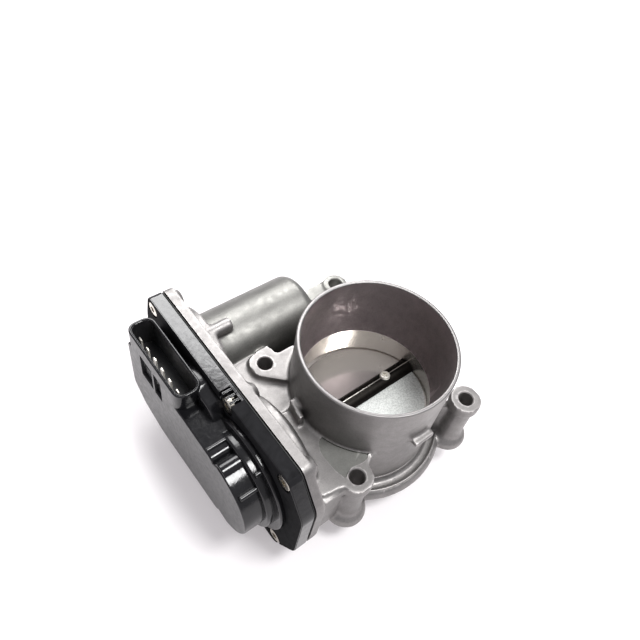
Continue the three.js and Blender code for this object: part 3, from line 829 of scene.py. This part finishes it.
def bearing_cutters():
    yield rod(SHAFT_R + 0.3, -60, HOUSING_HIGH.x + 5, at=(0, SHAFT_Z), material=MACHINED)
    yield rod(BEARING_R, -60, -37.2, at=(0, SHAFT_Z), material=MACHINED)
    mouth = BEARING_R + 0.6
    seat = [(0, 34.2), (BEARING_R, 34.2), (BEARING_R, 42.5), (mouth, 43.1), (mouth, 46), (0, 46)]
    yield turned(seat, "x", (0, SHAFT_Z), material=MACHINED)


def edge_beads():
    """Thin raised lines round the barrel's foot and the flange's upper edge."""
    yield turned(circle(0.5, BARREL_R, FLANGE_TOP + 1.4, 12), "z", steps=180)
    yield turned(circle(0.6, FLANGE_TOP_R - 0.3, FLANGE_TOP - 0.4, 12), "z", steps=180)


def web_recess():
    """The shallow pocket in the front web, from the barrel's foot to the bolt hole."""
    hollow = [
        (-36, -11),
        (-38.6, -16),
        (-38.4, -25),
        (-37, -30.6),
        (-34.8, -29.2),
        (-32, -28),
        (-28.5, -28.9),
        (-24.6, -29.2),
        (-20.5, -26.5),
        (-28, -10),
    ]
    pocket = prism(rounded(hollow, 2), BOSS_TOP - 0.8, BOSS_TOP + 3, "z")
    cut(pocket, rod(BARREL_FOOT_R, 0, RIM_Z, "z"))
    pocket.data.polygons.foreach_set("material_index", [POCKET] * len(pocket.data.polygons))
    return pocket


def paint_sleeve(body):
    """Gives the motor sleeve its own finish, from the fillet at the case to its end."""
    start = -45
    reach = MOTOR_SLEEVE_R + 0.4
    for face in body.data.polygons:
        at = face.center / MM
        off = math.hypot(at.y - MOTOR_Y, at.z - MOTOR_Z)
        if face.material_index == CAST and at.x > start and off < reach:
            face.material_index = SLEEVE


def casting():
    parts = [
        barrel(),
        *boss_parts(),
        *case_parts(),
        *web_parts(),
        *sleeve_parts(),
        *shaft_boss_parts(),
    ]
    body = melted(gathered("casting", parts), voxel=0.75, rounds=5)
    fuse(body, *edge_beads())
    cut(body, web_recess())
    cut(
        body,
        *duct_cutter(),
        *outlet_cutters(),
        *case_cutters(),
        *bearing_cutters(),
        *(bolt_hole(at, BOSS_TOP) for at in BOLTS),
        bolt_hole(EAR, EAR_TOP),
    )
    paint_sleeve(body)
    materials = [
        CAST_ALUMINIUM,
        BORE_ALUMINIUM,
        DUCT_ALUMINIUM,
        FACE_ALUMINIUM,
        POCKET_ALUMINIUM,
        SLEEVE_ALUMINIUM,
    ]
    finished(body, "housing_casting", "housing", ["throttle_housing"], materials, 38)


# ---------- cover and connector ----------

SHELL, DOME_FACE, INSIDE, GLOSSY_EDGE, MATT_FLANGE = range(5)  # material slots of the cover


def step_outline(by=0.0):
    """First step of the dome: rounds about the shaft, the idler and the motor."""
    shaft = arc(24, 52, 262, 0, SHAFT_Z)
    motor = arc(12, -82, 60, MOTOR_Y, MOTOR_Z)
    idler = arc(23.3, 38, 100, IDLER_Y, IDLER_Z)
    shoulder = [(27.6, 47.3), (21.2, 46.9), (19.6, 45.4), (17.2, 41.4)]
    return inset(shaft + motor + idler + shoulder, by)


def face_outline():
    """The flat outer face: a round end about the shaft, a slanted far corner."""
    low = SHAFT_Z - 21
    far = PLUG_Y[1]
    round_end = arc(21.2, 90, 250, 0, SHAFT_Z)
    corners = [(26, low - 1.6), (46, low - 2.6), (62, low + 1.4), (far, low + 10), (far, PLUG_FLOOR + 6)]
    near = [(PLUG_Y[0], PLUG_FLOOR + 6), (PLUG_Y[0] - 3, SHAFT_Z + 21.5)]
    return round_end + rounded([(-2, low)] + corners + near + [(3, SHAFT_Z + 21.2)], 3)[1:-1]


def plug_outline(wall, r):
    x0, x1 = PLUG_X[0] + wall, PLUG_X[1] - wall
    y0, y1 = PLUG_Y[0] + wall, PLUG_Y[1] - wall
    return rounded([(x0, y0), (x1, y0), (x1, y1), (x0, y1)], r, 8)


def cover_solids():
    yield prism(face_outline(), COVER_TOP, COVER_LIP + 1, low_edge=0.7)
    yield prism(step_outline(), COVER_STEP, COVER_LIP + 1, low_edge=1.1)
    yield prism(plug_outline(0, 5), 28, PLUG_TOP, "z", edge=0.6, low_edge=1.2)
    yield rod(27.6, COVER_LIP - 2.4, COVER_LIP + 1, at=(0, SHAFT_Z), low_edge=0.8)
    # bosses and ribs on the dome's upper side
    yield rod(4.0, COVER_TOP + 0.5, COVER_STEP + 1, at=(-1.9, SHAFT_Z + 18.6), low_edge=0.5)
    yield rod(1.1, COVER_TOP + 0.6, COVER_STEP + 1, at=(8.1, SHAFT_Z + 21.0), low_edge=0.4)
    yield rod(1.1, COVER_TOP + 1.4, COVER_STEP + 1, at=(-14.3, SHAFT_Z + 16.4), low_edge=0.4)
    yield rod(1.2, COVER_STEP + 1, COVER_LIP + 0.5, at=(-11.4, SHAFT_Z + 21.6), low_edge=0.4)
    # ribbed clip in the notch at the middle screw
    for y in (14.6, 17.3, 20.0):
        yield block((COVER_LIP + 0.6, COVER_SEAT - 0.4), (y, y + 1.2), (46, 51.6), edge=0.25)


def window(y, z):
    """A latch window through the socket's outer wall."""
    return block((COVER_TOP - 2, COVER_TOP + PLUG_WALL + 0.4), y, z, material=INSIDE)


def cover():
    shell = prism(case_outline(), COVER_LIP, COVER_SEAT, low_edge=0.55, edge=0.3, material=SHELL)
    cut(shell, block((COVER_LIP - 2, COVER_SEAT - 1.2), CLIP_Y, (48.6, 56)))
    fuse(shell, *cover_solids())
    outside = prism(case_outline(-4), COVER_TOP - 10, COVER_LIP + 0.5)
    outside = cut(outside, prism(case_outline(0.15), COVER_TOP - 12, COVER_LIP + 2))
    cut(
        shell,
        outside,
        prism(plug_outline(PLUG_WALL, 4), PLUG_FLOOR, PLUG_TOP + 4, "z", material=INSIDE),
        prism(plug_outline(PLUG_WALL - 0.5, 4.5), PLUG_TOP - 0.5, PLUG_TOP + 4, "z", low_edge=0.5),
        window((49.6, 59.4), (28.6, 43.2)),
        window((42.2, 48.2), (28.6, 43.2)),
        *at_screws(SCREW_POCKET_R, COVER_LIP - 4, SCREW_SEAT),
        *at_screws(SCREW_HOLE_R, COVER_LIP - 6, COVER_SEAT + 2),
        cover_hollow(),
    )
    paint_cover(shell)
    materials = [COVER_PLASTIC, COVER_FACE, SOCKET_PLASTIC, COVER_GLOSS, COVER_MATT]
    finished(shell, "cover_moulding", "housing", ["gear_cover"], materials)


def cover_hollow():
    """The space for the gears behind the dome, clear of the socket and the screw posts."""
    top = COVER_SEAT + 2
    inner = prism(step_outline(COVER_WALL), COVER_STEP + COVER_WALL, top, material=INSIDE)
    fuse(inner, prism(case_outline(CASE_WALL, 6), COVER_LIP + COVER_WALL, top, material=INSIDE))
    socket = prism(plug_outline(0, 5), PLUG_FLOOR - 2.4, PLUG_TOP, "z")
    return cut(inner, socket, *at_screws(POST_R, COVER_LIP - 1, COVER_SEAT + 4))


def paint_cover(shell):
    """The dome's flat face, the flange's glossy top beside the socket and its matt remainder."""
    parted = bmesh.new()
    parted.from_mesh(shell.data)
    pieces = [*parted.verts, *parted.edges, *parted.faces]
    bmesh.ops.bisect_plane(parted, geom=pieces, plane_co=(0, CLIP_Y[0] * MM, 0), plane_no=(0, 1, 0))
    parted.to_mesh(shell.data)
    parted.free()
    for face in shell.data.polygons:
        at = face.center / MM
        outward = face.normal.x < -0.9
        if outward and abs(at.x - COVER_TOP) < 0.3:
            face.material_index = DOME_FACE
        elif outward and abs(at.x - COVER_LIP) < 0.3:
            face.material_index = MATT_FLANGE
        elif face.normal.z > 0.7 and at.z > COVER_HIGH.z - 0.8:
            face.material_index = GLOSSY_EDGE if at.y > CLIP_Y[0] else MATT_FLANGE


def pins():
    for i in range(1, PIN_COUNT + 1):
        low, high = box_mm(f"connector_pin_{i}")
        blade = block((low.x, high.x), (low.y, high.y), (low.z, high.z), edge=0.3)
        finished(blade, f"pin_blade_{i}", "housing", [f"connector_pin_{i}"], [TIN])


def star(at, turn):
    """The six-lobed socket of a screw, turned by its own angle as driven screws are."""
    points = []
    for k in range(12):
        r = (1.75, 1.25)[k % 2]
        a = math.pi * k / 6 + turn
        points.append((at.y + r * math.cos(a), at.z + r * math.sin(a)))
    return points


def cover_screws():
    seat = SCREW_SEAT - 0.3
    for i, at in enumerate(SCREWS, 1):
        top = box_mm(f"cover_screw_{i}")[0].x
        head = [
            (0, top),
            (2.9, top),
            (3.4, top + 0.15),
            (3.7, top + 0.6),
            (3.75, seat),
            (1.8, seat),
            (1.8, POST_END - 2),
            (1.2, POST_END - 1.4),
            (0, POST_END - 1.4),
        ]
        screw = turned(head, "x", (at.y, at.z), 48)
        cut(screw, prism(rounded(star(at, i), 0.3, 3), top - 1, top + 1.2))
        finished(screw, f"cover_screw_head_{i}", "housing", [f"cover_screw_{i}"], [ZINC])


def seal():
    low, high = box_mm("cover_seal")
    ring = prism(case_outline(0.7), low.x, high.x, low_edge=0.2, edge=0.2)
    hollow = prism(case_outline(CASE_WALL, 6), CASE_FACE - 3, CASE_FACE + 3)
    cut(hollow, *at_screws(POST_R, CASE_FACE - 5, CASE_FACE + 5))
    cut(ring, hollow, *at_screws(SCREW_HOLE_R, CASE_FACE - 3, CASE_FACE + 3))
    finished(ring, "case_seal", "housing", ["cover_seal"], [RUBBER])


# ---------- throttle shaft, plate and their screws ----------

THROTTLE_PLACE = Matrix.Translation((0, 0, SHAFT_Z * MM)) @ Matrix.Rotation(-REST_TILT, 4, "X")


def shaft():
    body = rod(SHAFT_R, *SHAFT_ENDS, edge=0.5, low_edge=0.5, name="shaft")
    slot = BORE_R + 0.05
    half = PLATE_T / 2 + 0.3
    tools = [block((-slot, slot), (-6, 6), (-half, half))]
    for x in (-PLATE_SCREW_X, PLATE_SCREW_X):
        tools.append(rod(PLATE_HOLE_R, -3.7, SHAFT_R + 2, "z", (x, 0)))
        tools.append(rod(2.9, SHAFT_R - 0.9, SHAFT_R + 2, "z", (x, 0)))
    cut(body, *tools)
    moved(body, THROTTLE_PLACE)
    finished(body, "shaft_turned", "throttle", ["throttle_shaft"], [SHAFT_BLACK])


def plate():
    disc = rod(PLATE_R, -PLATE_T / 2, PLATE_T / 2, "z", edge=0.3, low_edge=0.3, name="plate")
    cut(disc, *(rod(PLATE_HOLE_R, -3, 3, "z", (x, 0)) for x in (-PLATE_SCREW_X, PLATE_SCREW_X)))
    moved(disc, THROTTLE_PLACE)
    finished(disc, "plate_disc", "throttle", ["throttle_plate"], [PLATE_ALUMINIUM])


def plate_screws():
    top = PLATE_SCREW_TOP
    profile = [
        (0, -3.3),
        (1.4, -3.3),
        (1.4, top - 1.5),
        (2.5, top - 1.5),
        (2.5, top - 0.7),
        (2.2, top - 0.2),
        (1.7, top),
        (0, top),
    ]
    for i, x in enumerate((-PLATE_SCREW_X, PLATE_SCREW_X), 1):
        screw = turned(profile, "z", (x, 0), 40)
        across = block((x - 1.5, x + 1.5), (-0.3, 0.3), (top - 0.9, top + 1))
        along = block((x - 0.3, x + 0.3), (-1.5, 1.5), (top - 0.9, top + 1))
        cut(screw, across, along)
        moved(screw, THROTTLE_PLACE)
        finished(screw, f"plate_screw_head_{i}", "throttle", [f"plate_screw_{i}"], [TIN])


def end_plug():
    low, high = box_mm("shaft_end_plug")
    cup = [
        (0, low.x),
        (7.4, low.x),
        (7.7, low.x + 0.3),
        (7.7, high.x),
        (6.9, high.x),
        (6.5, high.x - 0.9),
        (0, high.x - 1.0),
    ]
    plug = turned(cup, "x", (0, SHAFT_Z))
    finished(plug, "end_plug_cup", "housing", ["shaft_end_plug"], [PLUG_STEEL])


# ---------- inner pieces keep their CAD shape and get a finish ----------

INNER = {
    NYLON: ["throttle_gear", "idler_gear", "spring_bush"],
    ZINC: ["bearing_gear_side", "bearing_far_side", "idler_pin", "motor_shaft", "motor_can"],
    TIN: ["motor_wave_washer", "motor_screw_1", "motor_screw_2"],
    DARK_STEEL: ["return_spring", "motor_armature"],
    RUBBER: ["shaft_seal"],
    BRASS: ["motor_pinion", "motor_terminal_1", "motor_terminal_2"],
    FERRITE: ["sensor_magnet", "motor_magnet_1", "motor_magnet_2"],
    SOCKET_PLASTIC: ["motor_end_plate"],
    BOARD: ["sensor_board"],
}


def inner_finishes():
    for material, nodes in INNER.items():
        for node in nodes:
            mesh = frame["nodes"][node].data
            mesh.materials.clear()
            mesh.materials.append(material)


# ---------- stage, light and camera ----------


def floor():
    """Pale paper just under the gear case, given a painted glow that is weaker near the part, a painted
    shade round it.
    """
    size = 4000
    z = HOUSING_LOW.z - 0.05
    corners = [(-size, -size, z), (size, -size, z), (size, size, z), (-size, size, z)]
    sheet = mesh_object("floor", corners, [(0, 1, 2, 3)])
    look = Look("floor_paper", (0.62, 0.61, 0.61), 0.8)
    look.base(look.ramp(look.noise(60, 3), (0.3, (0.61, 0.595, 0.6)), (0.7, (0.63, 0.62, 0.625))))
    look.set("Emission Color", (1.0, 0.945, 0.965, 1))
    distance = look.add("ShaderNodeVectorMath", operation="LENGTH")
    look.link(look.place, distance.inputs[0])
    # painted shade: the floor's glow is dimmer close to the part and brighter away from it
    painted_shade_glow = look.remap(distance.outputs["Value"], 0.05, 0.22, 0.3, 0.5)
    look.link(painted_shade_glow, look.shader.inputs["Emission Strength"])
    sheet.data.materials.append(look.material)
    sheet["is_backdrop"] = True


def softbox(name, azimuth, elevation, distance, width, height, radiance):
    """A flat panel that faces the bore, azimuth measured from +Y towards +X."""
    a, e = math.radians(azimuth), math.radians(elevation)
    toward = Vector((math.sin(a) * math.cos(e), math.cos(a) * math.cos(e), math.sin(e)))
    lamp = bpy.data.lights.new(name, "AREA")
    lamp.shape = "RECTANGLE"
    lamp.size, lamp.size_y = width, height
    lamp.energy = radiance * math.pi * width * height
    holder = bpy.data.objects.new(name, lamp)
    holder.location = toward * distance
    holder.rotation_euler = toward.to_track_quat("Z", "Y").to_euler()
    bpy.context.scene.collection.objects.link(holder)


def surroundings():
    """Dim even room light; the backdrop itself is white where the camera sees past the floor."""
    world = bpy.data.worlds.new("room")
    world.use_nodes = True
    tree = world.node_tree
    room = tree.nodes["Background"]
    room.inputs["Color"].default_value = (0.97, 0.96, 1.0, 1)
    room.inputs["Strength"].default_value = 0.55
    white = tree.nodes.new("ShaderNodeBackground")
    white.inputs["Strength"].default_value = 1.0
    seen = tree.nodes.new("ShaderNodeLightPath")
    either = tree.nodes.new("ShaderNodeMixShader")
    tree.links.new(seen.outputs["Is Camera Ray"], either.inputs["Fac"])
    tree.links.new(room.outputs["Background"], either.inputs[1])
    tree.links.new(white.outputs["Background"], either.inputs[2])
    tree.links.new(either.outputs["Shader"], tree.nodes["World Output"].inputs["Surface"])
    bpy.context.scene.world = world


def camera():
    """Where the photo was taken from, found from the circles of the rim, the bore and the bolt holes."""
    lens = bpy.data.cameras.new("camera")
    lens.sensor_width = 36
    lens.lens = 35.13
    lens.clip_start = 0.01
    holder = bpy.data.objects.new("camera", lens)
    eye = (-0.13226, -0.08556, 0.26745)
    azimuth, elevation, roll = math.radians(-47.6), math.radians(51.9), math.radians(12.2)
    turn = Matrix.Rotation(azimuth, 4, "Z") @ Matrix.Rotation(math.pi / 2 - elevation, 4, "X")
    holder.matrix_world = Matrix.Translation(eye) @ turn @ Matrix.Rotation(roll, 4, "Z")
    bpy.context.scene.collection.objects.link(holder)
    bpy.context.scene.camera = holder


camera()
floor()
surroundings()
softbox("window", 30, 46, 1.3, 0.8, 0.6, 11.6)
softbox("overhead", 150, 70, 1.2, 0.32, 0.32, 38)
bpy.context.scene.view_settings.view_transform = "Standard"

casting()
cover()
pins()
cover_screws()
seal()
shaft()
plate()
plate_screws()
end_plug()
inner_finishes()

boxes = {"cad": cad_box, "visual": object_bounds()}
{name: [list(corner) for corner in box] for name, box in boxes.items()}
